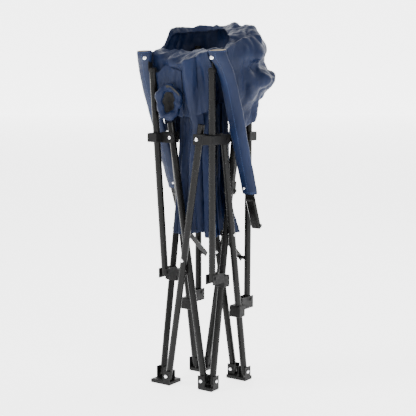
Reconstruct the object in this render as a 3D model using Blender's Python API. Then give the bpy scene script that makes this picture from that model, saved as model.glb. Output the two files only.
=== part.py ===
"""Folding camp chair, folded and standing on its four feet.

Frame: +Z up, the chair faces -Y, +X is the sitter's left-hand side seen from
the front right. The origin is on the floor, midway between the four feet.
Every pair of crossing legs is one scissor; the scissors share four feet and
four upper hubs. Each upright is pinned low on a side leg and slides through
the ring of a hub.
"""
import math

import bmesh
import bpy
from mathutils import Matrix, Vector

# ---- driving dimensions (metres, degrees) ----
TUBE_R = 0.008             # 16 mm steel tube
TUBE_WALL = 0.0012
LEG = 0.570                # pin to pin, every crossing leg
SIDE_CROSS = 0.3435        # foot pin to crossing, side scissors
FRONT_CROSS = LEG / 2      # foot pin to crossing, front and back scissors
REST_TILT = math.radians(9.0)
PIN_Z = 0.022              # height of the foot pins
PLANE_GAP = 0.0085         # half the distance between the two legs of a scissor
SIDE_OUT = 0.0275          # side scissor plane outside the front foot pins
FRONT_OUT = 0.0165         # front scissor plane outside the side foot pins
SIDE_CLEAR = 0.0006        # play beside a side leg in its fork
FRONT_CLEAR = 0.0014       # play beside a front or back leg, which also leans
CHEEK = 0.0022             # fork wall
RIVET_R = 0.0024
RIVET_HOLE_R = 0.0029
RIVET_HEAD_R = 0.0044
RIVET_HEAD_H = 0.0018
LEG_TAIL = 0.009           # tube beyond a pin
FRONT_TIP = 0.034          # front leg beyond its hub, which carries a seat corner
SIDE_TIP = 0.040           # side leg beyond its hub, which carries a seat corner
OPEN_SWING = math.radians(23.5)    # how far a front leg turns in its hub and foot
FOOT_LEG_ROOM = 0.0010     # play round a swinging leg in its foot
HUB_LEG_ROOM = 0.0022      # play round a swinging leg in its hub
LEG_ROOM_END = 0.030
GAP = 0.0004               # gap between touching pieces
SIDES = 16                 # facets round a tube
PIN_SIDES = 10             # facets round a rivet or its hole

# uprights: pin and hub ring places of the right-hand pair
FRONT_POST_PIN = Vector((0.0680, -0.0620, 0.2660))
FRONT_POST_RING = Vector((0.0785, -0.0775, 0.5850))
FRONT_POST_LENGTH = 0.470
BACK_POST_PIN = Vector((0.0720, 0.0790, 0.1930))
BACK_POST_RING = Vector((0.0735, 0.0800, 0.5850))
BACK_POST_LENGTH = 0.600

# arms: front pivot and rear rivet of the right-hand arm, which clears the hubs
ARM_PIVOT = Vector((0.0926, -0.0864, 0.7680))
ARM_FRONT = Vector((0.1100, -0.0864, 0.7680))
ARM_REAR = Vector((0.1080, 0.0600, 0.3780))
ARM_BAR = (0.026, 0.003)
SLEEVE = (0.040, 0.013)
SLEEVE_SHIFT = 0.0082      # the sleeve hangs a little outside its bar
SLEEVE_FROM = 0.016
SLEEVE_TO = 0.345

HALF_WIDTH = FRONT_CROSS * math.sin(REST_TILT)
HALF_DEPTH = SIDE_CROSS * math.sin(REST_TILT)
HUB_DEPTH = (LEG - SIDE_CROSS) * math.sin(REST_TILT)
HUB_Z = PIN_Z + LEG * math.cos(REST_TILT)
FRONT_Y = HALF_DEPTH + FRONT_OUT
SIDE_X = HALF_WIDTH + SIDE_OUT

BLACK_STEEL = ((0.020, 0.021, 0.022), 0.42, 0.6)
BLACK_PLASTIC = ((0.018, 0.018, 0.020), 0.55, 0.0)
RIVET_STEEL = ((0.75, 0.75, 0.76), 0.28, 1.0)
NAVY_FABRIC = ((0.022, 0.050, 0.150), 0.75, 0.0)
BLACK_FABRIC = ((0.012, 0.012, 0.014), 0.85, 0.0)


# ---- helpers ----
def clear_scene():
    for item in list(bpy.data.objects):
        bpy.data.objects.remove(item, do_unlink=True)


def finish_object(name, mesh_data, look, smooth=True):
    for face in mesh_data.polygons:
        face.use_smooth = smooth
    if smooth:
        mesh_data.set_sharp_from_angle(angle=math.radians(35))
    piece = bpy.data.objects.new(name, mesh_data)
    bpy.context.scene.collection.objects.link(piece)
    material = bpy.data.materials.new(name)
    material.use_nodes = True
    shader = material.node_tree.nodes["Principled BSDF"]
    colour, roughness, metallic = look
    shader.inputs["Base Color"].default_value = (*colour, 1)
    shader.inputs["Roughness"].default_value = roughness
    shader.inputs["Metallic"].default_value = metallic
    mesh_data.materials.append(material)
    return piece


def as_cutter(piece):
    piece.hide_render = True
    piece.display_type = 'WIRE'
    return piece


def set_origin(piece, point):
    """Puts a piece's origin on its joint axis, without moving its faces."""
    piece.data.transform(Matrix.Translation(-Vector(point)))
    piece.location = point
    return piece


def frame_along(start, end):
    """A turn that takes +Z to the line and keeps +X near the world's X, or its Z."""
    z_axis = (Vector(end) - Vector(start)).normalized()
    guide = Vector((0, 0, 1)) if abs(z_axis.x) > 0.9 else Vector((1, 0, 0))
    y_axis = z_axis.cross(guide).normalized()
    x_axis = y_axis.cross(z_axis)
    turn = Matrix((x_axis, y_axis, z_axis)).transposed().to_4x4()
    return Matrix.Translation(start) @ turn


def ring_faces(bm, profile, sides):
    """Revolves (radius, height) points about Z; the profile is a closed loop."""
    rows = []
    for radius, height in profile:
        row = []
        for step in range(sides):
            angle = 2 * math.pi * step / sides
            row.append(bm.verts.new((radius * math.cos(angle), radius * math.sin(angle), height)))
        rows.append(row)
    count = len(rows)
    for index in range(count):
        low, high = rows[index], rows[(index + 1) % count]
        for step in range(sides):
            after = (step + 1) % sides
            bm.faces.new((low[step], low[after], high[after], high[step]))


def capped_revolve(bm, profile, sides):
    """Revolves an open profile about Z and closes both ends with flat caps."""
    rows = []
    for radius, height in profile:
        row = []
        for step in range(sides):
            angle = 2 * math.pi * step / sides
            row.append(bm.verts.new((radius * math.cos(angle), radius * math.sin(angle), height)))
        rows.append(row)
    for low, high in zip(rows, rows[1:]):
        for step in range(sides):
            after = (step + 1) % sides
            bm.faces.new((low[step], low[after], high[after], high[step]))
    bm.faces.new(list(reversed(rows[0])))
    bm.faces.new(rows[-1])


def mesh_from(bm, name, place=None):
    if place is not None:
        bm.transform(place)
    bm.normal_update()
    bmesh.ops.recalc_face_normals(bm, faces=bm.faces)
    if bm.calc_volume(signed=True) < 0:
        bmesh.ops.reverse_faces(bm, faces=bm.faces)
    data = bpy.data.meshes.new(name)
    bm.to_mesh(data)
    bm.free()
    return data


def hollow_tube(name, start, end, look=BLACK_STEEL):
    length = (Vector(end) - Vector(start)).length
    inner = TUBE_R - TUBE_WALL
    bm = bmesh.new()
    ring_faces(bm, [(TUBE_R, 0), (TUBE_R, length), (inner, length), (inner, 0)], SIDES)
    return finish_object(name, mesh_from(bm, name, frame_along(start, end)), look)


def rod(name, start, end, radius, look=BLACK_PLASTIC, sides=12):
    length = (Vector(end) - Vector(start)).length
    bm = bmesh.new()
    capped_revolve(bm, [(radius, 0), (radius, length)], sides)
    return finish_object(name, mesh_from(bm, name, frame_along(start, end)), look)


def block(name, low, high, bevel=0.0, look=BLACK_PLASTIC, place=None):
    low, high = Vector(low), Vector(high)
    low, high = (Vector(map(min, low, high)), Vector(map(max, low, high)))
    bm = bmesh.new()
    bmesh.ops.create_cube(bm, size=1)
    size = high - low
    bmesh.ops.scale(bm, vec=size, verts=bm.verts)
    bmesh.ops.translate(bm, vec=(low + high) / 2, verts=bm.verts)
    if bevel:
        bmesh.ops.bevel(bm, geom=list(bm.edges), offset=bevel, segments=1, profile=0.6,
                        affect='EDGES', clamp_overlap=True)
    return finish_object(name, mesh_from(bm, name, place), look)


def combine(piece, other, operation):
    as_cutter(other)
    step = piece.modifiers.new(operation.title(), 'BOOLEAN')
    step.operation = operation
    step.solver = 'EXACT'
    step.object = other


def cut_hole(piece, centre, axis, radius, reach=0.016):
    centre, axis = Vector(centre), Vector(axis).normalized()
    tool = rod(piece.name + "_hole", centre - axis * reach, centre + axis * reach, radius, sides=PIN_SIDES)
    combine(piece, tool, 'DIFFERENCE')


def rivet(name, centre, axis, half_length, blind=False):
    """A shaft with a low domed head at each end, or a blind one with the head on `axis` only."""
    head = half_length + RIVET_HEAD_H
    edge = RIVET_HEAD_R
    outer = [(edge, half_length), (edge * 0.9, head - RIVET_HEAD_H * 0.4), (edge * 0.5, head)]
    inner = [(radius, -height) for radius, height in reversed(outer)]
    if blind:
        inner = []
    profile = inner + [(RIVET_R, -half_length), (RIVET_R, half_length)] + outer
    bm = bmesh.new()
    capped_revolve(bm, profile, PIN_SIDES)
    centre = Vector(centre)
    place = frame_along(centre, centre + Vector(axis))
    piece = finish_object(name, mesh_from(bm, name, place), RIVET_STEEL)
    return set_origin(piece, centre)


def rivet_head(parent, name, centre, axis):
    """A head alone, fused to a fork wall where the pivot is left open."""
    centre, axis = Vector(centre), Vector(axis).normalized()
    head = rod(name, centre - axis * 0.0006, centre + axis * RIVET_HEAD_H, RIVET_HEAD_R * 0.95,
               sides=PIN_SIDES)
    combine(parent, head, 'UNION')


# ---- where everything is ----
# corner signs: x side, y side (+Y is the back); then which leg runs outside
CORNERS = {
    "front_right": {"x": 1, "y": -1, "front_out": -1, "side_out": -1, "hub_front": 1, "hub_side": 1},
    "back_right": {"x": 1, "y": 1, "front_out": -1, "side_out": 1, "hub_front": 1, "hub_side": -1},
    "front_left": {"x": -1, "y": -1, "front_out": 1, "side_out": 1, "hub_front": -1, "hub_side": -1},
    "back_left": {"x": -1, "y": 1, "front_out": 1, "side_out": -1, "hub_front": -1, "hub_side": 1},
}


def foot_pins(corner):
    c = CORNERS[corner]
    front = Vector((c["x"] * HALF_WIDTH, c["y"] * (FRONT_Y + c["front_out"] * PLANE_GAP), PIN_Z))
    side = Vector((c["x"] * (SIDE_X + c["side_out"] * PLANE_GAP), c["y"] * HALF_DEPTH, PIN_Z))
    return front, side


def hub_pins(corner):
    c = CORNERS[corner]
    front = Vector((c["x"] * HALF_WIDTH, c["y"] * (FRONT_Y + c["hub_front"] * PLANE_GAP), HUB_Z))
    side = Vector((c["x"] * (SIDE_X + c["hub_side"] * PLANE_GAP), c["y"] * HUB_DEPTH, HUB_Z))
    return front, side


def mirrored(point, sign):
    return Vector((point.x * sign, point.y, point.z))


# leg name: foot corner, hub corner, 0 front/back plane or 1 side plane, seat tip
LEGS = {
    "front_leg_inner": ("front_right", "front_left", 0, FRONT_TIP),
    "front_leg_outer": ("front_left", "front_right", 0, FRONT_TIP),
    "back_leg_inner": ("back_right", "back_left", 0, LEG_TAIL),
    "back_leg_outer": ("back_left", "back_right", 0, LEG_TAIL),
    "right_leg_inner": ("front_right", "back_right", 1, SIDE_TIP),
    "right_leg_outer": ("back_right", "front_right", 1, LEG_TAIL),
    "left_leg_outer": ("front_left", "back_left", 1, SIDE_TIP),
    "left_leg_inner": ("back_left", "front_left", 1, LEG_TAIL),
}
OPEN_FOOT = {("back_left", 0)}
OPEN_HUB = {("front_right", 1), ("front_left", 1), ("back_right", 0), ("back_left", 0)}


def leg_axis(side_plane):
    return Vector((1, 0, 0)) if side_plane else Vector((0, 1, 0))


def make_legs():
    for name, (foot, hub, side_plane, tip) in LEGS.items():
        low, high = foot_pins(foot)[side_plane], hub_pins(hub)[side_plane]
        way = (high - low).normalized()
        tube = hollow_tube(name, low - way * LEG_TAIL, high + way * tip)
        axis = leg_axis(side_plane)
        reach = SIDE_CROSS if side_plane else FRONT_CROSS
        crossing = low + way * reach
        if (foot, side_plane) not in OPEN_FOOT:
            cut_hole(tube, low, axis, RIVET_HOLE_R)
        cut_hole(tube, crossing, axis, RIVET_HOLE_R)
        if (hub, side_plane) not in OPEN_HUB:
            cut_hole(tube, high, axis, RIVET_HOLE_R)
        set_origin(tube, low)


def leg_room(piece, front, outward, below, room):
    """Frees the swing of a front or back leg, from rest to fully open."""
    for index in range(4):
        lean = REST_TILT + OPEN_SWING * index / 3
        way = Vector((outward * math.sin(lean), 0, math.cos(lean)))
        tool = rod(f"{piece.name}_leg_room_{index}", front - way * below, front + way * LEG_ROOM_END,
                   TUBE_R + room, sides=12)
        combine(piece, tool, 'DIFFERENCE')


def make_fork(piece, corner, pins, open_front, open_side, half_z, side_end, short):
    """Joins the four walls that hold a front leg and a side leg at one corner."""
    c = CORNERS[corner]
    front, side = pins
    low_z, high_z = half_z
    side_wall = TUBE_R + SIDE_CLEAR
    wall = TUBE_R + FRONT_CLEAR
    inner_wall_x = abs(side.x) - side_wall - CHEEK * 0.3
    for sign in (-1, 1):
        near = front.y + sign * wall
        far = near + sign * CHEEK
        reach = inner_wall_x
        if short:
            reach = SIDE_X - PLANE_GAP - TUBE_R - 0.0005
        elif abs(near) > abs(side_end):
            reach = max(reach, SIDE_X - 0.0035)
        cheek = block(f"{piece.name}_front_wall_{sign}", (front.x - c["x"] * 0.0095, near, low_z),
                      (c["x"] * reach, far, high_z))
        combine(piece, cheek, 'UNION')
    for sign in (-1, 1):
        near = side.x + sign * side_wall
        far = near + sign * CHEEK
        cheek = block(f"{piece.name}_side_wall_{sign}",
                      (near, side.y - c["y"] * 0.0105, low_z), (far, side_end, high_z))
        combine(piece, cheek, 'UNION')
    if open_front:
        for sign in (-1, 1):
            spot = front + Vector((0, sign * (wall + CHEEK), 0))
            rivet_head(piece, f"{piece.name}_front_head_{sign}", spot, (0, sign, 0))
    else:
        cut_hole(piece, front, (0, 1, 0), 0.0038)
    if open_side:
        for sign in (-1, 1):
            spot = side + Vector((sign * (side_wall + CHEEK), 0, 0))
            rivet_head(piece, f"{piece.name}_side_head_{sign}", spot, (sign, 0, 0))
    else:
        cut_hole(piece, side, (1, 0, 0), RIVET_HOLE_R)


def make_feet():
    """Moulded corner feet: a flat sole with two forks standing on it."""
    sole = PIN_Z - math.hypot(LEG_TAIL, TUBE_R) - 0.0012
    top = PIN_Z + 0.012
    for corner, c in CORNERS.items():
        front, side = foot_pins(corner)
        outer_x = side.x + c["x"] * (TUBE_R + SIDE_CLEAR + CHEEK)
        outer_y = front.y + c["y"] * (TUBE_R + FRONT_CLEAR + CHEEK)
        inner_x = front.x - c["x"] * 0.0095
        inner_y = side.y - c["y"] * 0.0105
        foot = block("foot_" + corner, (inner_x, inner_y, 0), (outer_x, outer_y, sole), 0.0015)
        make_fork(foot, corner, (front, side), (corner, 0) in OPEN_FOOT, False, (0.002, top),
                  side.y + c["y"] * 0.0125, True)
        leg_room(foot, front, -c["x"], LEG_TAIL + 0.0008, FOOT_LEG_ROOM)
        set_origin(foot, side)


def post_points(corner):
    c = CORNERS[corner]
    if c["y"] < 0:
        return mirrored(FRONT_POST_PIN, c["x"]), mirrored(FRONT_POST_RING, c["x"]), FRONT_POST_LENGTH
    return mirrored(BACK_POST_PIN, c["x"]), mirrored(BACK_POST_RING, c["x"]), BACK_POST_LENGTH


# a hub ring's room round its upright, whose lean changes: outwards, inwards, beside
RING_ROOM = {"front": (0.0091, 0.0054, 0.0026), "back": (0.0062, 0.0026, 0.0018)}
RING_WALL = 0.0028
RING_HALF_Z = 0.0105
CORE_Y = 0.058             # inner face of a hub's core


def make_hubs():
    """Upper hubs: an oblong ring round the upright, with two forks."""
    for corner, c in CORNERS.items():
        front, side = hub_pins(corner)
        pin, ring, length = post_points(corner)
        outward, inward, beside = (TUBE_R + room for room in RING_ROOM[corner.split("_")[0]])
        outer_y = ring.y + c["y"] * (outward + RING_WALL)
        inner_y = ring.y - c["y"] * (inward + RING_WALL)
        core_y = c["y"] * CORE_Y
        side_reach = abs(side.x) + TUBE_R + SIDE_CLEAR + CHEEK
        ring_reach = abs(ring.x) + beside + RING_WALL
        side_start = abs(side.x) - TUBE_R - SIDE_CLEAR - CHEEK
        ring_start = abs(ring.x) - beside - RING_WALL
        hub = block("hub_" + corner, (c["x"] * ring_start, inner_y, HUB_Z - RING_HALF_Z),
                    (c["x"] * ring_reach, outer_y, HUB_Z + RING_HALF_Z), 0.0014)
        core = block(hub.name + "_core", (c["x"] * side_start, core_y, HUB_Z - RING_HALF_Z),
                     (c["x"] * max(side_reach, ring_start + 0.004), inner_y + c["y"] * 0.0026,
                      HUB_Z + RING_HALF_Z), 0.0008)
        combine(hub, core, 'UNION')
        make_fork(hub, corner, (front, side), (corner, 0) in OPEN_HUB, (corner, 1) in OPEN_HUB,
                  (HUB_Z - 0.012, HUB_Z + 0.012), inner_y + c["y"] * 0.001, False)
        slot = block(hub.name + "_slot", (ring.x - beside, ring.y - c["y"] * inward, HUB_Z - 0.03),
                     (ring.x + beside, ring.y + c["y"] * outward, HUB_Z + 0.03), 0.004)
        combine(hub, slot, 'DIFFERENCE')
        leg_room(hub, front, c["x"], LEG_ROOM_END, HUB_LEG_ROOM)
        set_origin(hub, side)


def make_posts():
    for corner, c in CORNERS.items():
        pin, ring, length = post_points(corner)
        way = (ring - pin).normalized()
        end = "front" if c["y"] < 0 else "back"
        side_name = "right" if c["x"] > 0 else "left"
        post = hollow_tube(f"{end}_post_{side_name}", pin - way * LEG_TAIL, pin + way * length)
        set_origin(post, pin)


BRACKET_LEG = {
    "front_right": ("right_leg_inner", 0.232), "front_left": ("left_leg_outer", 0.232),
    "back_right": ("right_leg_outer", 0.152), "back_left": ("left_leg_inner", 0.152),
}


def leg_line(name):
    foot, hub, side_plane, tip = LEGS[name]
    low, high = foot_pins(foot)[side_plane], hub_pins(hub)[side_plane]
    return low, (high - low).normalized()


def make_brackets():
    """Lower brackets: a clamp round a side leg and two walls for the upright's pin."""
    for corner, (leg, along) in BRACKET_LEG.items():
        c = CORNERS[corner]
        low, way = leg_line(leg)
        grip = low + way * along
        pin, ring, length = post_points(corner)
        wall = TUBE_R + SIDE_CLEAR
        span = [pin.x - (wall + CHEEK), pin.x + (wall + CHEEK), grip.x - 0.0105, grip.x + 0.0105]
        bracket = block("bracket_" + corner, (min(span), grip.y - 0.0125, grip.z - 0.012),
                        (max(span), grip.y + 0.0125, grip.z + 0.016), 0.002)
        for sign in (-1, 1):
            near = pin.x + sign * wall
            far = near + sign * CHEEK
            cheek = block(f"{bracket.name}_wall_{sign}", (near, pin.y + c["y"] * 0.0105, grip.z + 0.001),
                          (far, grip.y + c["y"] * 0.011, pin.z + 0.009))
            combine(bracket, cheek, 'UNION')
            rivet_head(bracket, f"{bracket.name}_head_{sign}",
                       pin + Vector((sign * (wall + CHEEK), 0, 0)), (sign, 0, 0))
        hole = rod(bracket.name + "_grip", grip - way * 0.06, grip + way * 0.06, TUBE_R + GAP, sides=SIDES)
        combine(bracket, hole, 'DIFFERENCE')
        set_origin(bracket, grip)


def make_collars():
    """Riveted collars above the crossings of the two side scissors."""
    for name, leg in (("collar_right", "right_leg_inner"), ("collar_left", "left_leg_outer")):
        low, way = leg_line(leg)
        spot = low + way * 0.452
        turned = frame_along(spot, spot + way)
        collar = block(name, (-0.0103, -0.0125, -0.016), (0.0103, 0.0125, 0.016), 0.0028, place=turned)
        hole = rod(name + "_bore", spot - way * 0.04, spot + way * 0.04, TUBE_R + GAP, sides=SIDES)
        combine(collar, hole, 'DIFFERENCE')
        outward = Vector((1 if spot.x > 0 else -1, 0, 0))
        for lift, back in ((0.007, -0.0075), (-0.008, 0.0072)):
            place = spot + way * lift + Vector((0, back, 0)) + outward * 0.0102
            rivet_head(collar, f"{name}_head_{lift}", place, outward)
        set_origin(collar, spot)


CAP_HEIGHT = 0.010


def make_caps():
    """Plastic tops of the front uprights, each with a tongue for the arm's pin."""
    for side_name, sign in (("right", 1), ("left", -1)):
        pin, ring, length = post_points("front_" + side_name)
        way = (ring - pin).normalized()
        top = pin + way * length
        bm = bmesh.new()
        capped_revolve(bm, [(0.0092, 0), (0.0092, CAP_HEIGHT * 0.7), (0.0070, CAP_HEIGHT)], SIDES)
        start = top + way * GAP
        cap = finish_object("cap_front_" + side_name,
                            mesh_from(bm, "cap", frame_along(start, start + way)), BLACK_PLASTIC)
        pivot = mirrored(ARM_PIVOT, sign)
        tongue_x = pivot.x - sign * 0.0042
        tongue = block(cap.name + "_tongue", (tongue_x, pivot.y - 0.0068, start.z + 0.002),
                       (tongue_x + sign * 0.0026, pivot.y + 0.0068, pivot.z + 0.008), 0.0008)
        combine(cap, tongue, 'UNION')
        cut_hole(cap, pivot, (1, 0, 0), RIVET_HOLE_R)
        set_origin(cap, pivot)


def arm_frame(sign):
    front, rear = mirrored(ARM_FRONT, sign), mirrored(ARM_REAR, sign)
    return frame_along(front, rear), (rear - front).length


def make_arms():
    """Flat arm bars with a lug at the front and a thick black end at the rear."""
    for side_name, sign in (("right", 1), ("left", -1)):
        place, length = arm_frame(sign)
        half_w, half_t = ARM_BAR[0] / 2, ARM_BAR[1] / 2
        bar = block("arm_bar_" + side_name, (-half_w, -half_t, -0.012), (half_w, half_t, SLEEVE_TO + 0.020),
                    0.0009, BLACK_STEEL, place)
        end = block(bar.name + "_end", (0.0006 - half_w, -0.0045, SLEEVE_TO + 0.004),
                    (half_w - 0.0006, 0.0045, length + 0.009), 0.0030, BLACK_PLASTIC, place)
        combine(bar, end, 'UNION')
        pivot = mirrored(ARM_PIVOT, sign)
        lug = block(bar.name + "_lug", (pivot.x - sign * 0.0011, pivot.y - 0.0068, pivot.z - 0.0075),
                    (pivot.x + sign * 0.0019, pivot.y + 0.0068, pivot.z + 0.0096), 0.0008)
        combine(bar, lug, 'UNION')
        link = block(bar.name + "_link", (pivot.x - sign * 0.0008, pivot.y - 0.0050, pivot.z + 0.0050),
                     (mirrored(ARM_FRONT, sign).x, pivot.y + 0.0035, pivot.z + 0.0090), 0.0008)
        combine(bar, link, 'UNION')
        cut_hole(bar, pivot - Vector((sign * 0.0075, 0, 0)), (1, 0, 0), RIVET_HOLE_R, reach=0.0115)
        rear = mirrored(ARM_REAR, sign)
        outer = rear + Vector((sign * (half_w - 0.0004), 0, 0))
        rivet_head(bar, bar.name + "_rear_head", outer, (sign, 0, 0))
        set_origin(bar, pivot)
        make_sleeve(side_name, place)
        rivet("arm_rivet_" + side_name, pivot - Vector((sign * 0.00115, 0, 0)), (1, 0, 0), 0.0033)


def make_sleeve(side_name, place):
    half_w, half_t = SLEEVE[0] / 2, SLEEVE[1] / 2
    shift = SLEEVE_SHIFT if side_name == "right" else -SLEEVE_SHIFT
    sleeve = block("arm_sleeve_" + side_name, (-half_w + shift, -half_t, SLEEVE_FROM),
                   (half_w + shift, half_t, SLEEVE_TO), 0.003, NAVY_FABRIC, place)
    room_w, room_t = ARM_BAR[0] / 2 + 0.0008, ARM_BAR[1] / 2 + 0.0008
    room = block(sleeve.name + "_room", (-room_w, -room_t, SLEEVE_FROM - 0.02),
                 (room_w, room_t, SLEEVE_TO + 0.02), 0, place=place)
    combine(sleeve, room, 'DIFFERENCE')


STAY_PLANE = 0.0518        # inside the heads of the side crossing rivets


def make_stays():
    """Flat links from the back uprights towards the side crossings."""
    for side_name, sign in (("right", 1), ("left", -1)):
        pin, ring, length = post_points("back_" + side_name)
        way = (ring - pin).normalized()
        near = pin + way * 0.100
        leg = "right_leg_inner" if sign > 0 else "left_leg_inner"
        low, leg_way = leg_line(leg)
        far_end = low + leg_way * SIDE_CROSS
        plane = sign * STAY_PLANE
        start, end = Vector((plane, near.y, near.z)), Vector((plane, far_end.y, far_end.z))
        place = frame_along(start, end)
        length = (end - start).length
        link = block("stay_" + side_name, (-0.0012, -0.0065, -0.008), (0.0012, 0.0065, length + 0.007),
                     0.0006, BLACK_STEEL, place)
        post_face = near.x - sign * (TUBE_R + GAP)
        spacer = rod(link.name + "_spacer", start, Vector((post_face, near.y, near.z)), 0.0045)
        combine(link, spacer, 'UNION')
        set_origin(link, start)


def make_rivets():
    for corner, c in CORNERS.items():
        front, side = foot_pins(corner)
        if (corner, 0) not in OPEN_FOOT:
            rivet(f"foot_rivet_{corner}_cross", front, (0, 1, 0), TUBE_R + FRONT_CLEAR + CHEEK + 0.0011)
        rivet(f"foot_rivet_{corner}_side", side, (c["x"], 0, 0), TUBE_R + SIDE_CLEAR + CHEEK + GAP, True)
        front, side = hub_pins(corner)
        if (corner, 0) not in OPEN_HUB:
            rivet("hub_rivet_" + corner, front, (0, 1, 0), TUBE_R + FRONT_CLEAR + CHEEK + GAP)
        if (corner, 1) not in OPEN_HUB:
            rivet("hub_rivet_" + corner, side, (1, 0, 0), TUBE_R + SIDE_CLEAR + CHEEK + GAP)
    half = PLANE_GAP + TUBE_R + GAP
    cross_z = PIN_Z + FRONT_CROSS * math.cos(REST_TILT)
    rivet("cross_rivet_front", (0, -FRONT_Y, cross_z), (0, 1, 0), half)
    rivet("cross_rivet_back", (0, FRONT_Y, cross_z), (0, 1, 0), half)
    side_z = PIN_Z + SIDE_CROSS * math.cos(REST_TILT)
    rivet("cross_rivet_right", (SIDE_X, 0, side_z), (1, 0, 0), half)
    rivet("cross_rivet_left", (-SIDE_X, 0, side_z), (1, 0, 0), half)


def bundle(name, centre, radii, power, look, rings=8, sides=16):
    """A plain rounded bundle: a superellipsoid with flat-capped poles."""
    def bend(value):
        return math.copysign(abs(value) ** power, value)

    bm = bmesh.new()
    rows = []
    for index in range(1, rings):
        lift = math.pi * index / rings - math.pi / 2
        row = []
        for step in range(sides):
            angle = 2 * math.pi * step / sides
            row.append(bm.verts.new((centre[0] + radii[0] * bend(math.cos(lift)) * bend(math.cos(angle)),
                                     centre[1] + radii[1] * bend(math.cos(lift)) * bend(math.sin(angle)),
                                     centre[2] + radii[2] * bend(math.sin(lift)))))
        rows.append(row)
    for low, high in zip(rows, rows[1:]):
        for step in range(sides):
            after = (step + 1) % sides
            bm.faces.new((low[step], low[after], high[after], high[step]))
    bm.faces.new(list(reversed(rows[0])))
    bm.faces.new(rows[-1])
    return finish_object(name, mesh_from(bm, name), look)


def make_soft_goods():
    """Plain solids of the backrest, the two halves of the seat and the cup holder."""
    backrest = bundle("backrest", (0.0, 0.040, 0.738), (0.1454, 0.070, 0.105), 0.7, NAVY_FABRIC)
    for sign in (1, -1):
        pin, ring, length = post_points("back_right" if sign > 0 else "back_left")
        way = (ring - pin).normalized()
        top = pin + way * (length + 0.008)
        pocket = rod(f"backrest_pocket_{sign}", pin + way * 0.3, top, TUBE_R + 0.0012)
        combine(backrest, pocket, 'DIFFERENCE')
    for name, sign in (("seat_front_half", -1), ("seat_back_half", 1)):
        bundle(name, (0.0, sign * 0.0218, 0.492), (0.045, 0.0205, 0.135), 0.45, NAVY_FABRIC)
    bundle("cup_holder", (-0.035, -0.0925, 0.668), (0.024, 0.0175, 0.040), 0.6, BLACK_FABRIC)


def make_plugs():
    """Plastic plugs that close the tops of the back uprights."""
    for side_name in ("right", "left"):
        pin, ring, length = post_points("back_" + side_name)
        way = (ring - pin).normalized()
        top = pin + way * (length + GAP)
        inner = TUBE_R - TUBE_WALL - GAP
        bm = bmesh.new()
        profile = [(inner, -0.012), (inner, 0), (TUBE_R, 0), (TUBE_R, 0.0028), (TUBE_R * 0.8, 0.0042)]
        capped_revolve(bm, profile, SIDES)
        plug = finish_object("plug_back_" + side_name, mesh_from(bm, "plug", frame_along(top, top + way)),
                             BLACK_PLASTIC)
        set_origin(plug, top)


clear_scene()
make_feet()
make_legs()
make_hubs()
make_posts()
make_brackets()
make_collars()
make_caps()
make_plugs()
make_arms()
make_stays()
make_rivets()
make_soft_goods()
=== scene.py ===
import math

import bmesh
import bpy
from mathutils import Matrix, Vector, noise


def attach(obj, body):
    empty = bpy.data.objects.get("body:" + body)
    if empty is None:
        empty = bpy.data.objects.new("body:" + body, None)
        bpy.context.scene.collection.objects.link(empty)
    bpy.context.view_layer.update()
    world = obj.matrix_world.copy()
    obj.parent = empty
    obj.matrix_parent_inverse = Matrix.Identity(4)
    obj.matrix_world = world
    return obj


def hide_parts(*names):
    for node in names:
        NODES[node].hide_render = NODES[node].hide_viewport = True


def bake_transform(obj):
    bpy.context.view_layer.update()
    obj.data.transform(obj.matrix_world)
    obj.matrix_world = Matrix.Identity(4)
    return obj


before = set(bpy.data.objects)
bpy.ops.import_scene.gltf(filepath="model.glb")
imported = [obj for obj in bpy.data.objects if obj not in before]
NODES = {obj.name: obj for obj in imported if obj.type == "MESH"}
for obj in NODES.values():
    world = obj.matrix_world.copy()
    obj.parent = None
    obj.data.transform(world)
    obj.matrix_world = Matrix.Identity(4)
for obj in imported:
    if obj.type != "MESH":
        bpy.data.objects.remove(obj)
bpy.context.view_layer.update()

# ---- view, colours, mesh steps and studio ----
CAMERA_AT = (1.4472, -2.0305, 0.7528)
LOOK_AZIMUTH = math.radians(35.48)
LOOK_ELEVATION = math.radians(7.15)
CAMERA_LENS = 92.26
CAMERA_SHIFT = (0.0105, -0.0236)

CLOTH = 0.0011             # thickness of one layer of cloth
SLEEVE_WALL = 0.0018       # the sleeves' padded wall
SLEEVE_SIDES = 28          # points round a sleeve
SLEEVE_RINGS = 90
CUP_SIDES = 20             # points round the roll of the cup holder
CUP_RINGS = 72
BOWL_SIDES = 48
BOWL_RINGS = 18
STRAP_RINGS = 40
DOME_SIDES = 20
SEAT_ACROSS = 150
SEAT_ALONG = 90
STITCH_STEP = 0.0042
STITCH_LONG = 0.0027
STITCH_THICK = 0.0007
STITCH_LIFT = 0.0004       # how far a stitch's middle stands off the sleeve
RIDGE_LEVEL = 0.45         # a wrinkle is a ridge where its noise is nearer to 0 than half of this
CALM_EDGE = 6              # a sheet's wrinkles fade out over the outer sixth at each side
CALM_RINGS = 3             # a sleeve's puckers fade out over so many rings at its ends
NAVY = (0.0020, 0.0075, 0.031)
NAVY_LIGHT = (0.0038, 0.0128, 0.048)
LINING = (0.52, 0.44, 0.33)
PAPER_GLOW = 2.6           # the white studio paper is lit from behind
FLOOR_HALF = 18.0
WALL_HALF = 12.0
WALL_AWAY = 14.0           # far enough for a camera to stand in front of it
PAPER_SQUARES = 8
LIGHT_AIM = Vector((0, 0, 0.45))
LIGHTS = (("key_light", (-1.9, -2.2, 2.6), 1.3, 95.0),
          ("side_light", (2.8, -0.9, 1.5), 1.2, 48.0),
          ("back_light", (0.9, 1.9, 2.4), 1.6, 40.0))


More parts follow.
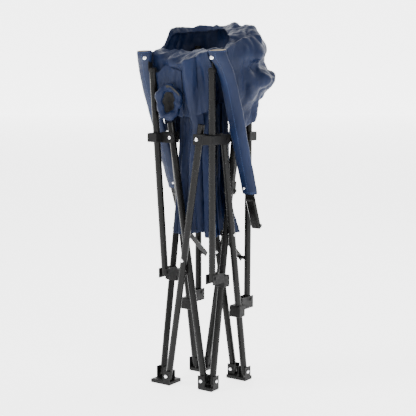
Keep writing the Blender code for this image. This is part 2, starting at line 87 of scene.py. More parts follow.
# ---- materials ----
class Nodes:
    """Short hand for building one material's node tree."""

    def __init__(self, name, roughness, metallic=0.0):
        self.material = bpy.data.materials.new(name)
        self.material.use_nodes = True
        self.tree = self.material.node_tree
        self.shader = self.tree.nodes["Principled BSDF"]
        self.shader.inputs["Roughness"].default_value = roughness
        self.shader.inputs["Metallic"].default_value = metallic
        self.place = self.tree.nodes.new("ShaderNodeTexCoord")

    def add(self, kind, **values):
        node = self.tree.nodes.new(kind)
        for key, value in values.items():
            if key in node.inputs:
                node.inputs[key].default_value = value
            else:
                setattr(node, key, value)
        return node

    def link(self, source, target):
        self.tree.links.new(source, target)

    def noise(self, scale, detail=4.0, stretch=(1, 1, 1)):
        mapping = self.add("ShaderNodeMapping")
        mapping.inputs["Scale"].default_value = stretch
        self.link(self.place.outputs["Object"], mapping.inputs["Vector"])
        texture = self.add("ShaderNodeTexNoise", Scale=scale, Detail=detail)
        self.link(mapping.outputs["Vector"], texture.inputs["Vector"])
        return texture.outputs["Fac"]

    def ramp(self, source, stops):
        ramp = self.add("ShaderNodeValToRGB")
        ramp.color_ramp.elements[0].position = stops[0][0]
        ramp.color_ramp.elements[0].color = (*stops[0][1], 1)
        ramp.color_ramp.elements[1].position = stops[-1][0]
        ramp.color_ramp.elements[1].color = (*stops[-1][1], 1)
        for position, colour in stops[1:-1]:
            ramp.color_ramp.elements.new(position).color = (*colour, 1)
        self.link(source, ramp.inputs["Fac"])
        return ramp.outputs["Color"]

    def grey(self, source, low, high, start=0.3, end=0.7):
        return self.ramp(source, [(start, (low,) * 3), (end, (high,) * 3)])

    def bump(self, source, strength, distance, before=None):
        bump = self.add("ShaderNodeBump", Strength=strength, Distance=distance)
        self.link(source, bump.inputs["Height"])
        if before is not None:
            self.link(before, bump.inputs["Normal"])
        return bump.outputs["Normal"]

    def colour(self, source):
        self.link(source, self.shader.inputs["Base Color"])

    def rough(self, source):
        self.link(source, self.shader.inputs["Roughness"])

    def normal(self, source):
        self.link(source, self.shader.inputs["Normal"])


def times(nodes, first, second):
    """The product of two values, as a node."""
    node = nodes.add("ShaderNodeMath", operation="MULTIPLY")
    nodes.link(first, node.inputs[0])
    nodes.link(second, node.inputs[1])
    return node.outputs[0]


def weave(nodes, threads):
    """A plain weave: bands along X and bands along Y, each crossed with bands along Z."""
    waves = []
    for direction in ("X", "Y", "Z"):
        wave = nodes.add("ShaderNodeTexWave", bands_direction=direction, Scale=threads)
        wave.inputs["Distortion"].default_value = 0.6
        wave.inputs["Detail"].default_value = 1.0
        wave.inputs["Detail Scale"].default_value = 2.0
        nodes.link(nodes.place.outputs["Object"], wave.inputs["Vector"])
        waves.append(wave.outputs["Fac"])
    both = nodes.add("ShaderNodeMath", operation="MAXIMUM")
    nodes.link(times(nodes, waves[0], waves[2]), both.inputs[0])
    nodes.link(times(nodes, waves[1], waves[2]), both.inputs[1])
    return both.outputs[0]


def oxford_cloth():
    nodes = Nodes("navy_oxford_cloth", 0.5)
    broad = nodes.noise(9.0, detail=5.0, stretch=(1, 1, 0.5))
    navy_dark = tuple(c * 0.78 for c in NAVY)
    tone = nodes.ramp(broad, [(0.30, navy_dark), (0.52, NAVY), (0.75, NAVY_LIGHT)])
    threads = weave(nodes, threads=420.0)
    mix = nodes.add("ShaderNodeMix", data_type="RGBA", blend_type="MULTIPLY")
    mix.inputs["Factor"].default_value = 0.30
    nodes.link(tone, mix.inputs["A"])
    nodes.link(nodes.grey(threads, low=0.60, high=1.0, start=0.1, end=0.8), mix.inputs["B"])
    nodes.colour(mix.outputs["Result"])
    nodes.rough(nodes.grey(nodes.noise(60.0), low=0.36, high=0.50))
    folds = nodes.noise(34.0, detail=6.0, stretch=(1, 1, 0.45))
    creases = nodes.bump(folds, strength=0.35, distance=0.0035)
    nodes.normal(nodes.bump(threads, strength=0.35, distance=0.0004, before=creases))
    nodes.shader.inputs["Sheen Weight"].default_value = 0.02
    nodes.shader.inputs["Sheen Roughness"].default_value = 0.45
    nodes.shader.inputs["Sheen Tint"].default_value = (0.45, 0.58, 0.95, 1)
    nodes.shader.inputs["Specular IOR Level"].default_value = 0.17
    return nodes.material


def powder_coat():
    nodes = Nodes("black_powder_coat", 0.34)
    tones = [(0.3, (0.0022, 0.0022, 0.0022)), (0.75, (0.005, 0.005, 0.0048))]
    nodes.colour(nodes.ramp(nodes.noise(26.0), tones))
    nodes.rough(nodes.grey(nodes.noise(90.0), low=0.20, high=0.32))
    nodes.normal(nodes.bump(nodes.noise(1500.0, detail=3.0), strength=0.22, distance=0.00025))
    nodes.shader.inputs["Specular IOR Level"].default_value = 0.14
    return nodes.material


def moulded_plastic():
    nodes = Nodes("black_moulded_plastic", 0.5)
    tones = [(0.3, (0.0022, 0.0022, 0.0024)), (0.8, (0.006, 0.006, 0.0062))]
    nodes.colour(nodes.ramp(nodes.noise(40.0), tones))
    nodes.rough(nodes.grey(nodes.noise(130.0), low=0.42, high=0.62))
    nodes.normal(nodes.bump(nodes.noise(2200.0, detail=2.0), strength=0.30, distance=0.0003))
    nodes.shader.inputs["Specular IOR Level"].default_value = 0.14
    return nodes.material


def zinc_steel():
    nodes = Nodes("zinc_plated_steel", 0.25, metallic=1.0)
    nodes.colour(nodes.ramp(nodes.noise(300.0), [(0.2, (0.70, 0.70, 0.72)), (0.8, (0.92, 0.92, 0.93))]))
    nodes.rough(nodes.grey(nodes.noise(700.0), low=0.16, high=0.36))
    nodes.normal(nodes.bump(nodes.noise(900.0), strength=0.12, distance=0.0002))
    return nodes.material


def black_mesh_cloth():
    nodes = Nodes("black_mesh_cloth", 0.8)
    threads = weave(nodes, threads=260.0)
    nodes.colour(nodes.ramp(threads, [(0.1, (0.004, 0.004, 0.004)), (0.8, (0.022, 0.021, 0.020))]))
    nodes.normal(nodes.bump(threads, strength=0.6, distance=0.0008))
    return nodes.material


def beige_lining():
    nodes = Nodes("beige_lining", 0.85)
    threads = weave(nodes, threads=380.0)
    lining_dark = tuple(c * 0.75 for c in LINING)
    nodes.colour(nodes.ramp(threads, [(0.1, lining_dark), (0.9, LINING)]))
    nodes.normal(nodes.bump(threads, strength=0.4, distance=0.0005))
    return nodes.material


def sewing_thread():
    nodes = Nodes("sewing_thread", 0.6)
    nodes.colour(nodes.ramp(nodes.noise(600.0), [(0.3, (0.03, 0.06, 0.15)), (0.8, (0.07, 0.12, 0.27))]))
    return nodes.material


def studio_paper():
    nodes = Nodes("pale_floor", 0.7)
    nodes.colour(nodes.ramp(nodes.noise(1.5), [(0.2, (0.88, 0.88, 0.88)), (0.8, (0.91, 0.91, 0.91))]))
    nodes.shader.inputs["Emission Color"].default_value = (1, 1, 1, 1)
    nodes.shader.inputs["Emission Strength"].default_value = PAPER_GLOW
    return nodes.material


OXFORD = oxford_cloth()
STEEL = powder_coat()
PLASTIC = moulded_plastic()
ZINC = zinc_steel()
MESH_CLOTH = black_mesh_cloth()
BEIGE = beige_lining()
THREAD = sewing_thread()


# ---- making pieces ----
def skin(bm, grid, ring=False, loop=False):
    """Joins rows of points by faces. A ring closes each row, and a loop joins the last row to the first."""
    rows = [[bm.verts.new(point) for point in row] for row in grid]
    pairs = list(zip(rows, rows[1:]))
    if loop:
        pairs.append((rows[-1], rows[0]))
    for low, high in pairs:
        count = len(low)
        for i in range(count if ring else count - 1):
            after = (i + 1) % count
            bm.faces.new((low[i], low[after], high[after], high[i]))
    bm.normal_update()
    return rows


def make_piece(name, bm):
    data = bpy.data.meshes.new(name)
    bm.to_mesh(data)
    bm.free()
    piece = bpy.data.objects.new(name, data)
    bpy.context.scene.collection.objects.link(piece)
    return piece


def smooth(mesh):
    for face in mesh.polygons:
        face.use_smooth = True


def solidify(piece, thickness, offset, material_offset=0):
    """Gives a sheet its thickness for good: the modifier is applied at once."""
    shell = piece.modifiers.new("layer", 'SOLIDIFY')
    shell.thickness = thickness
    shell.offset = offset
    shell.material_offset = material_offset
    bpy.context.view_layer.update()
    depsgraph = bpy.context.evaluated_depsgraph_get()
    final = bpy.data.meshes.new_from_object(piece.evaluated_get(depsgraph))
    piece.modifiers.clear()
    piece.data = final
    smooth(final)


def sheet_mesh(name, grid, closed=False, thickness=CLOTH):
    """A sheet of real thickness, one closed mesh."""
    bm = bmesh.new()
    skin(bm, grid, ring=closed)
    piece = make_piece(name, bm)
    solidify(piece, thickness, offset=0.0)
    return piece


def give(piece, material):
    piece.data.materials.clear()
    piece.data.materials.append(material)


# ---- camera, floor, wall and lights ----
def paper_plane(name, half, paper):
    bm = bmesh.new()
    bmesh.ops.create_grid(bm, x_segments=PAPER_SQUARES, y_segments=PAPER_SQUARES, size=half)
    plane = make_piece(name, bm)
    plane.data.materials.append(paper)
    return plane


def studio():
    data = bpy.data.cameras.new("camera")
    data.lens = CAMERA_LENS
    data.shift_x, data.shift_y = CAMERA_SHIFT
    camera = bpy.data.objects.new("camera", data)
    bpy.context.scene.collection.objects.link(camera)
    camera.location = CAMERA_AT
    camera.rotation_euler = (math.pi / 2 - LOOK_ELEVATION, 0, LOOK_AZIMUTH)
    bpy.context.scene.camera = camera

    paper = studio_paper()
    floor = paper_plane("floor", FLOOR_HALF, paper)
    wall = paper_plane("wall", WALL_HALF, paper)
    away = Vector((-math.sin(LOOK_AZIMUTH), math.cos(LOOK_AZIMUTH), 0))
    wall.location = away * WALL_AWAY
    wall.rotation_euler = (math.pi / 2, 0, LOOK_AZIMUTH)

    for name, place, size, power in LIGHTS:
        light = bpy.data.lights.new(name, "AREA")
        light.size = size
        light.energy = power
        lamp = bpy.data.objects.new(name, light)
        bpy.context.scene.collection.objects.link(lamp)
        lamp.location = place
        lamp.rotation_euler = (LIGHT_AIM - Vector(place)).to_track_quat("-Z", "Y").to_euler()
    world = bpy.data.worlds.new("soft_white")
    bpy.context.scene.world = world
    world.use_nodes = True
    background = world.node_tree.nodes["Background"]
    background.inputs["Color"].default_value = (1.0, 1.0, 1.0, 1)
    background.inputs["Strength"].default_value = 1.0


def dress_frame():
    """Gives every CAD node the finish of its material."""
    for name, piece in NODES.items():
        if "rivet" in name:
            finish = ZINC
        elif name.startswith(("foot_", "hub_", "bracket", "collar", "cap_", "plug")):
            finish = PLASTIC
        else:
            finish = STEEL
        for slot in piece.material_slots:
            slot.link = 'OBJECT'
            slot.material = finish


# ---- cloth shapes ----
def spline(points, count):
    """A smooth curve through the points, at even steps of its parameter."""
    points = [Vector(p) for p in points]
    ends = [2 * points[0] - points[1]] + points + [2 * points[-1] - points[-2]]
    result = []
    for index in range(count):
        at = index / (count - 1) * (len(points) - 1)
        low = min(int(at), len(points) - 2)
        t = at - low
        a, b, c, d = ends[low:low + 4]
        result.append(0.5 * ((2 * b) + (c - a) * t + (2 * a - 5 * b + 4 * c - d) * t * t
                             + (3 * b - a - 3 * c + d) * t * t * t))
    return result


def grid_from_rails(rails, along):
    """Smooth rows of points through rows that already have every point across."""
    across = len(rails[0])
    columns = [spline([rail[i] for rail in rails], along) for i in range(across)]
    return [[columns[i][j] for i in range(across)] for j in range(along)]


def grid_from_rows(rows, along, across):
    """Smooth points of a sheet whose control rows run from its bottom to its top."""
    return grid_from_rails([spline(row, across) for row in rows], along)


def grid_normals(grid):
    normals = []
    for j, row in enumerate(grid):
        line = []
        for i, point in enumerate(row):
            right = row[min(i + 1, len(row) - 1)] - row[max(i - 1, 0)]
            up = grid[min(j + 1, len(grid) - 1)][i] - grid[max(j - 1, 0)][i]
            line.append(right.cross(up).normalized())
        normals.append(line)
    return normals


def fold_noise(point, scale, stretch, seed):
    """Noise from -1 to 1 at a point. The seed moves it to another part of the noise."""
    spot = Vector((point.x * stretch[0], point.y * stretch[1], point.z * stretch[2])) * scale
    return noise.noise(spot + Vector((seed, seed * 1.7, seed * 0.3)))


def wrinkle(grid, folds, keep_edges=False):
    """Pushes the sheet along its normals by layers of (depth, scale, stretch, seed)."""
    normals = grid_normals(grid)
    last_col = len(grid[0]) - 1
    result = []
    for j, row in enumerate(grid):
        line = []
        for i, point in enumerate(row):
            push = 0.0
            for depth, scale, stretch, seed in folds:
                value = fold_noise(point, scale, stretch, seed)
                push += depth * (RIDGE_LEVEL - abs(value) * 2)
            if keep_edges:
                edge = min(i, last_col - i) / last_col * CALM_EDGE
                push *= min(1.0, edge)
            line.append(point + normals[j][i] * push)
        result.append(line)
    return result


# ---- backrest ----
SKIRT_DROP = 0.042         # the cloth under the hem's row, drawn in a little
SKIRT_NARROWER = 0.94
SKIRT_SHALLOWER = 0.90


def make_backrest():
    """The back panel, folded round the uprights like a hood that is open to the front."""
    lip = [(-0.106, -0.070, 0.776), (-0.100, -0.028, 0.783), (-0.090, 0.006, 0.824), (-0.086, 0.054, 0.826),
           (-0.046, 0.086, 0.834), (0.000, 0.080, 0.838), (0.030, 0.050, 0.829), (0.056, 0.018, 0.819),
           (0.080, -0.010, 0.808), (0.086, -0.034, 0.794), (0.096, -0.060, 0.782)]
    top = [(-0.108, -0.072, 0.780), (-0.104, -0.028, 0.789), (-0.096, 0.004, 0.836), (-0.092, 0.060, 0.838),
           (-0.050, 0.094, 0.845), (0.016, 0.096, 0.846), (0.060, 0.084, 0.842), (0.096, 0.066, 0.834),
           (0.120, 0.040, 0.816), (0.106, -0.002, 0.806), (0.100, -0.052, 0.784)]
    upper = [(-0.106, -0.066, 0.752), (-0.112, -0.024, 0.762), (-0.110, 0.014, 0.790), (-0.108, 0.066, 0.800),
             (-0.050, 0.108, 0.808), (0.020, 0.112, 0.806), (0.078, 0.108, 0.798), (0.120, 0.086, 0.792),
             (0.137, 0.036, 0.776), (0.114, -0.006, 0.774), (0.100, -0.048, 0.760)]
    waist = [(-0.104, -0.060, 0.730), (-0.112, -0.020, 0.734), (-0.110, 0.020, 0.744), (-0.104, 0.070, 0.756),
             (-0.050, 0.106, 0.760), (0.020, 0.108, 0.758), (0.074, 0.104, 0.756), (0.110, 0.086, 0.756),
             (0.120, 0.044, 0.752), (0.108, -0.004, 0.744), (0.099, -0.044, 0.736)]
    bulge = [(-0.102, -0.054, 0.706), (-0.114, -0.014, 0.706), (-0.120, 0.028, 0.706), (-0.108, 0.082, 0.714),
             (-0.052, 0.114, 0.722), (0.020, 0.114, 0.722), (0.086, 0.112, 0.722), (0.142, 0.092, 0.722),
             (0.146, 0.044, 0.718), (0.112, -0.006, 0.712), (0.098, -0.040, 0.708)]
    under = [(-0.098, -0.046, 0.674), (-0.108, -0.008, 0.672), (-0.108, 0.030, 0.672), (-0.098, 0.080, 0.680),
             (-0.050, 0.106, 0.690), (0.020, 0.106, 0.694), (0.078, 0.104, 0.696), (0.124, 0.086, 0.692),
             (0.122, 0.040, 0.684), (0.104, -0.004, 0.672), (0.094, -0.030, 0.664)]
    hem = [(-0.090, -0.038, 0.640), (-0.096, -0.002, 0.636), (-0.094, 0.034, 0.634), (-0.090, 0.078, 0.640),
           (-0.050, 0.098, 0.650), (0.018, 0.098, 0.660), (0.072, 0.096, 0.668), (0.106, 0.080, 0.668),
           (0.104, 0.040, 0.652), (0.094, 0.004, 0.640), (0.088, -0.020, 0.634)]
    skirt = [(x * SKIRT_NARROWER, y * SKIRT_SHALLOWER, z - SKIRT_DROP) for x, y, z in hem]
    rows = [skirt, hem, under, bulge, waist, upper, top, lip]
    folds = [(0.0070, 15.0, (1.3, 1.3, 0.5), 3.1), (0.0052, 30.0, (1.3, 1.3, 0.4), 7.7),
             (0.0014, 80.0, (1, 1, 0.8), 1.3)]
    grid = wrinkle(grid_from_rows(rows, along=84, across=170), folds, keep_edges=True)
    piece = sheet_mesh("backrest_cloth", grid)
    give(piece, OXFORD)
    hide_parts("backrest")
    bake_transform(piece)


OVAL_POWER = 0.8


def flat_oval(centre, across, through, half_w, half_t):
    """Points round a flattened padded section. A power under 1 makes its two faces fuller."""
    points = []
    for index in range(SLEEVE_SIDES):
        angle = 2 * math.pi * index / SLEEVE_SIDES
        side, face = math.cos(angle), math.sin(angle)
        points.append(Vector(centre) + across * half_w * side
                      + through * half_t * math.copysign(abs(face) ** OVAL_POWER, face))
    return points


def tube_grid(sections, puckers):
    """Rings of a sleeve, smoothly between its sections, with soft cross puckers."""
    centres = spline([section[0] for section in sections], SLEEVE_RINGS)
    sizes = spline([(section[1], section[2], 0) for section in sections], SLEEVE_RINGS)
    across = Vector((1, 0, 0))
    middle = (SLEEVE_RINGS - 1) / 2
    result = []
    for index, (centre, size) in enumerate(zip(centres, sizes)):
        way = centres[min(index + 1, SLEEVE_RINGS - 1)] - centres[max(index - 1, 0)]
        through = way.cross(across).normalized()
        calm = min(1.0, (middle - abs(index - middle)) / CALM_RINGS)
        line = []
        for point in flat_oval(centre, across, through, size.x, size.y):
            outward = (point - centre).normalized()
            push = 0.0
            for depth, scale, stretch, seed in puckers:
                push += depth * fold_noise(point, scale, stretch, seed)
            line.append(point + outward * push * calm)
        result.append(line)
    return result


def stitch_run(name, points, body, lift):
    """A row of sewn stitches, each a short rounded thread, along a path."""
    bm = bmesh.new()
    lengths = [(b - a).length for a, b in zip(points, points[1:])]
    for index in range(int(sum(lengths) / STITCH_STEP)):
        at = (index + 0.5) * STITCH_STEP
        low = 0
        while low < len(lengths) - 1 and at > lengths[low]:
            at -= lengths[low]
            low += 1
        way = (points[low + 1] - points[low]).normalized()
        spot = points[low] + way * at + lift[low]
        made = bmesh.ops.create_icosphere(bm, subdivisions=1, radius=0.5)
        turn = way.to_track_quat("X", "Z").to_matrix().to_4x4()
        scale = Matrix.Diagonal((STITCH_LONG, STITCH_THICK, STITCH_THICK, 1))
        bmesh.ops.transform(bm, matrix=Matrix.Translation(spot) @ turn @ scale, verts=made["verts"])
    piece = make_piece(name, bm)
    smooth(piece.data)
    give(piece, THREAD)
    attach(piece, body)


def dome(name, place, facing, radius, body):
    """A pressed snap or rivet head: a low dome with a rolled rim."""
    profile = [(0.30, 0.58), (0.58, 0.44), (0.80, 0.22), (0.86, 0.14), (1.0, 0.12), (1.02, 0.0)]
    tip_height = 0.62
    turns = [2 * math.pi * k / DOME_SIDES for k in range(DOME_SIDES)]
    bm = bmesh.new()
    rows = []
    for along, height in profile:
        rows.append([bm.verts.new((radius * along * math.cos(turn),
                                   radius * along * math.sin(turn), radius * height))
                     for turn in turns])
    tip = bm.verts.new((0, 0, radius * tip_height))
    for k in range(DOME_SIDES):
        after = (k + 1) % DOME_SIDES
        bm.faces.new((tip, rows[0][k], rows[0][after]))
        for low, high in zip(rows, rows[1:]):
            bm.faces.new((low[k], high[k], high[after], low[after]))
    bm.faces.new(list(reversed(rows[-1])))
    turn = Vector(facing).to_track_quat("Z", "Y").to_matrix().to_4x4()
    bm.transform(Matrix.Translation(place) @ turn)
    bm.normal_update()
    bmesh.ops.recalc_face_normals(bm, faces=bm.faces)
    piece = make_piece(name, bm)
    smooth(piece.data)
    give(piece, ZINC)
    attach(piece, body)


# ---- arm sleeves ----
# Each section is its centre, half its width and half its thickness, from the top down.
RIGHT_SLEEVE = [((0.1040, -0.0925, 0.7840), 0.0225, 0.0105), ((0.1050, -0.0900, 0.7700), 0.0225, 0.0110),
                ((0.1130, -0.0770, 0.7400), 0.0205, 0.0082), ((0.1155, -0.0610, 0.6980), 0.0210, 0.0072),
                ((0.1140, -0.0315, 0.6200), 0.0215, 0.0070), ((0.1120, -0.0015, 0.5400), 0.0205, 0.0070),
                ((0.1110, 0.0230, 0.4750), 0.0200, 0.0070), ((0.1105, 0.0300, 0.4560), 0.0195, 0.0066)]
SLEEVE_PUCKERS = [(0.0014, 30.0, (0.6, 1, 1.2), 2.2), (0.0007, 95.0, (0.6, 1, 1.3), 5.1)]
SEAM_POINT = SLEEVE_SIDES * 3 // 4


def make_sleeve(side_name, sign, inward, narrower):
    """A padded sleeve round one arm, with its stitches and two snaps. It is navy outside and beige inside."""
    sections = [((sign * (x - inward), y, z), wide - narrower, thick)
                for (x, y, z), wide, thick in RIGHT_SLEEVE]
    sections.reverse()
    grid = tube_grid(sections, SLEEVE_PUCKERS)
    bm = bmesh.new()
    rows = skin(bm, grid, ring=True)
    middle = grid[len(grid) // 2]
    centre = sum(middle, Vector()) / len(middle)
    face = rows[len(grid) // 2][0].link_faces[0]
    if face.normal.dot(face.calc_center_median() - centre) < 0:
        bmesh.ops.reverse_faces(bm, faces=bm.faces)
    piece = make_piece("sleeve_cloth_" + side_name, bm)
    piece.data.materials.append(OXFORD)
    piece.data.materials.append(BEIGE)
    solidify(piece, SLEEVE_WALL, offset=-1.0, material_offset=1)
    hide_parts("arm_sleeve_" + side_name)
    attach(piece, "arm_" + side_name)
    body = "arm_" + side_name
    for label, row in (("hem_low", 3), ("hem_high", 5), ("mouth", len(grid) - 4)):
        ring = grid[row] + [grid[row][0]]
        centre = sum(grid[row], Vector()) / len(grid[row])
        lift = [(point - centre).normalized() * STITCH_LIFT for point in ring]
        stitch_run(f"sleeve_{label}_stitches_{side_name}", ring, body, lift)
    seam = [ring[SEAM_POINT] for ring in grid[5:-4]]
    lift = [Vector((0, -STITCH_LIFT, 0))] * len(seam)
    stitch_run("sleeve_seam_stitches_" + side_name, seam, body, lift)
    dome("arm_snap_" + side_name, (sign * 0.0940, -0.1015, 0.7680), (0.2, -1, 0.25), 0.0048, body)
    dome("sleeve_snap_" + side_name, (sign * 0.1020, 0.0165, 0.4690), (0.1, -0.9, 0.4), 0.0036, body)


# ---- front panel, drape and seat ----
def make_front_panel():
    """The front of the gathered cloth, between the two arms."""
    back = [(-0.098, -0.034, 0.790), (-0.060, -0.022, 0.786), (-0.010, -0.018, 0.786), (0.040, -0.026, 0.788),
            (0.086, -0.040, 0.789)]
    lip = [(-0.092, -0.070, 0.782), (-0.052, -0.074, 0.766), (0.004, -0.086, 0.758), (0.034, -0.083, 0.770),
           (0.068, -0.078, 0.782)]
    upper = [(-0.092, -0.072, 0.750), (-0.052, -0.072, 0.742), (0.004, -0.082, 0.738),
             (0.038, -0.074, 0.742), (0.070, -0.068, 0.750)]
    middle = [(-0.090, -0.066, 0.712), (-0.052, -0.062, 0.708), (0.000, -0.072, 0.704),
              (0.040, -0.066, 0.708), (0.068, -0.062, 0.712)]
    hem = [(-0.084, -0.056, 0.652), (-0.052, -0.056, 0.640), (0.000, -0.062, 0.634), (0.040, -0.058, 0.642),
           (0.064, -0.054, 0.654)]
    rows = [hem, middle, upper, lip, back]
    folds = [(0.0050, 24.0, (1.3, 1, 0.16), 4.4), (0.0018, 52.0, (1.2, 1, 0.3), 8.8)]
    grid = wrinkle(grid_from_rows(rows, along=60, across=110), folds, keep_edges=True)
    piece = sheet_mesh("front_panel_cloth", grid)
    give(piece, OXFORD)
    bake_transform(piece)


def make_drape():
    """One long fold of the seat cloth, which hangs in front of the gathered seat."""
    rows = [
        [(-0.024, -0.041, 0.366), (-0.014, -0.050, 0.362), (0.000, -0.046, 0.362), (0.012, -0.034, 0.364)],
        [(-0.016, -0.041, 0.440), (-0.006, -0.051, 0.440), (0.008, -0.047, 0.440), (0.018, -0.034, 0.440)],
        [(-0.010, -0.040, 0.520), (-0.001, -0.050, 0.520), (0.014, -0.046, 0.520), (0.022, -0.034, 0.520)],
        [(-0.004, -0.042, 0.600), (0.006, -0.052, 0.600), (0.020, -0.048, 0.600), (0.028, -0.036, 0.600)],
        [(-0.002, -0.062, 0.660), (0.010, -0.074, 0.660), (0.024, -0.070, 0.660), (0.034, -0.056, 0.660)],
        [(0.000, -0.080, 0.715), (0.012, -0.092, 0.715), (0.026, -0.090, 0.715), (0.036, -0.076, 0.715)],
        [(0.003, -0.088, 0.758), (0.014, -0.096, 0.762), (0.028, -0.092, 0.766), (0.037, -0.082, 0.770)]]
    folds = [(0.0030, 34.0, (1.2, 1, 0.12), 6.1), (0.0010, 90.0, (1, 1, 0.4), 2.7)]
    grid = wrinkle(grid_from_rows(rows, along=110, across=36), folds)
    piece = sheet_mesh("seat_drape_cloth", grid)
    give(piece, OXFORD)
    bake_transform(piece)


# Each level is its height, half the seat's folded width there, and the depth of its folds.
SEAT_LEVELS = [(0.362, 0.058, 0.0150), (0.420, 0.052, 0.0155), (0.500, 0.047, 0.0140),
               (0.570, 0.044, 0.0110), (0.622, 0.042, 0.0095), (0.668, 0.040, 0.0085)]
SEAT_WAVES = 4.5           # upright folds across a half
SEAT_AWAY = 0.028          # from the chair's middle to the middle of a half
FLARE_TOP = 0.45           # the seat's hem flares below this height
FLARE_HEIGHT = 0.09


def make_seat_half(which, sign):
    """Half of the seat, hanging in deep upright folds between two hubs."""
    rails = []
    for height, half, depth in SEAT_LEVELS:
        rail = []
        flare = max(0.0, FLARE_TOP - height) / FLARE_HEIGHT
        for index in range(SEAT_ACROSS):
            t = index / (SEAT_ACROSS - 1)
            x = -half + 2 * half * t + 0.006 * math.sin(2 * math.pi * SEAT_WAVES * t * 2)
            y = sign * SEAT_AWAY + depth * math.sin(2 * math.pi * SEAT_WAVES * t + sign)
            if sign > 0:
                y += flare * 0.030 * max(0.0, x - 0.012) / 0.045
            z = height + 0.006 * math.sin(5.1 * t + sign) - flare * 0.006 * math.sin(2 * math.pi * 1.5 * t)
            rail.append(Vector((x, y, z)))
        rails.append(rail)
    folds = [(0.0030, 34.0, (1, 1, 0.15), 9.0 + sign), (0.0010, 90.0, (1, 1, 0.5), 3.0)]
    grid = wrinkle(grid_from_rails(rails, SEAT_ALONG), folds)
    piece = sheet_mesh(f"seat_{which}_cloth", grid)
    give(piece, OXFORD)
    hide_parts(f"seat_{which}_half")
    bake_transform(piece)


# ---- cup holder ----
CUP = Vector((-0.0330, -0.0925, 0.6680))
CUP_FACING = Vector((0.50, -0.84, -0.05)).normalized()
CUP_ACROSS = Vector((0.86, 0.51, 0)).normalized()
CUP_LIFT = CUP_FACING.cross(CUP_ACROSS).normalized()
CUP_WIDE = 0.0215          # half the roll's oval, across and upwards
CUP_HIGH = 0.0330
ROLL_RADIUS = 0.0085
BOWL_WIDE = 0.0190
BOWL_HIGH = 0.0300
BOWL_BACK = 0.003          # from the roll's middle back to the bowl's rim
BOWL_DEPTH = 0.013
STRAP_HALF = 0.0028
STRAP_OUT = 0.0088


def make_cup_panel():
    """The cloth that the cup holder hangs by, beside the left front upright."""
    top = [(-0.086, -0.078, 0.742), (-0.070, -0.084, 0.734), (-0.050, -0.080, 0.750), (-0.028, -0.084, 0.744),
           (-0.004, -0.082, 0.738)]
    middle = [(-0.082, -0.074, 0.700), (-0.066, -0.080, 0.698), (-0.048, -0.074, 0.700),
              (-0.028, -0.080, 0.700), (-0.006, -0.076, 0.698)]
    low = [(-0.074, -0.070, 0.655), (-0.062, -0.076, 0.652), (-0.046, -0.070, 0.648), (-0.028, -0.074, 0.640),
           (-0.008, -0.070, 0.632)]
    folds = [(0.0038, 32.0, (1.3, 1, 0.22), 1.9), (0.0012, 80.0, (1, 1, 0.5), 5.9)]
    grid = wrinkle(grid_from_rows([low, middle, top], along=50, across=60), folds)
    piece = sheet_mesh("cup_holder_panel_cloth", grid)
    give(piece, OXFORD)
    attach(piece, "front_post_left")


def cup_oval(wide, high, turn):
    """A point of an oval round the cup holder's mouth, from its centre."""
    return CUP_ACROSS * wide * math.cos(turn) + CUP_LIFT * high * math.sin(turn)


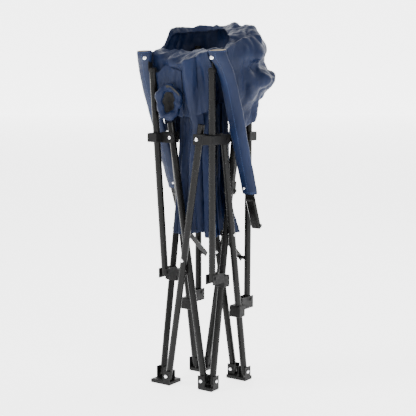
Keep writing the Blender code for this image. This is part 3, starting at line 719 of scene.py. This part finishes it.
def make_cup_roll():
    """The holder's cloth wall, rolled down round its mouth. The sines make the roll uneven."""
    grid = []
    for j in range(CUP_RINGS):
        turn = 2 * math.pi * j / CUP_RINGS
        wide = CUP_WIDE + 0.0022 * math.sin(3 * turn + 0.6)
        high = CUP_HIGH + 0.0020 * math.sin(2 * turn)
        spine = CUP + cup_oval(wide, high, turn)
        out = cup_oval(1, 1, turn).normalized()
        radius = ROLL_RADIUS + 0.0014 * math.sin(5 * turn + 1.0)
        row = []
        for k in range(CUP_SIDES):
            bend = 2 * math.pi * k / CUP_SIDES
            point = (spine + out * radius * math.cos(bend)
                     + CUP_FACING * radius * 0.95 * math.sin(bend))
            push = 0.0042 * fold_noise(point, 60.0, (1, 1, 1), 4.0)
            push += 0.0020 * fold_noise(point, 130.0, (1, 1, 1), 6.0)
            row.append(point + (point - spine).normalized() * push)
        grid.append(row)
    bm = bmesh.new()
    skin(bm, grid, ring=True, loop=True)
    bmesh.ops.recalc_face_normals(bm, faces=bm.faces)
    roll = make_piece("cup_holder_roll", bm)
    smooth(roll.data)
    give(roll, OXFORD)
    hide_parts("cup_holder")
    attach(roll, "front_post_left")


def make_cup_bowl():
    """The black mesh inside the roll. It bulges backwards, with a small hole at its middle."""
    rows = []
    for j in range(BOWL_RINGS - 1):
        share = 1.0 - j / (BOWL_RINGS - 1)
        row = []
        for k in range(BOWL_SIDES):
            turn = 2 * math.pi * k / BOWL_SIDES
            point = (CUP + cup_oval(BOWL_WIDE * share, BOWL_HIGH * share, turn)
                     - CUP_FACING * (BOWL_BACK + BOWL_DEPTH * (1 - share * share)))
            row.append(point + CUP_FACING * 0.0050 * fold_noise(point, 70.0, (1, 1, 1), 3.3))
        rows.append(row)
    bowl = sheet_mesh("cup_holder_mesh", rows, closed=True, thickness=0.0008)
    give(bowl, MESH_CLOTH)
    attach(bowl, "front_post_left")


def make_cup_strap():
    """The elastic that holds the roll, across its upper end."""
    rows = []
    for j in range(STRAP_RINGS):
        t = j / (STRAP_RINGS - 1)
        centre = (CUP + CUP_ACROSS * (-0.004 + 0.030 * t) + CUP_LIFT * (0.036 - 0.020 * t * t)
                  + CUP_FACING * STRAP_OUT)
        rows.append([centre + CUP_LIFT * STRAP_HALF * side for side in (-1, -0.5, 0, 0.5, 1)])
    band = sheet_mesh("cup_holder_elastic", rows, thickness=0.0012)
    give(band, MESH_CLOTH)
    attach(band, "front_post_left")


studio()
dress_frame()
make_backrest()
make_sleeve("right", 1, 0.0, 0.0)
make_sleeve("left", -1, 0.002, 0.003)
make_front_panel()
make_drape()
make_seat_half("front", -1)
make_seat_half("back", 1)
make_cup_panel()
make_cup_roll()
make_cup_bowl()
make_cup_strap()
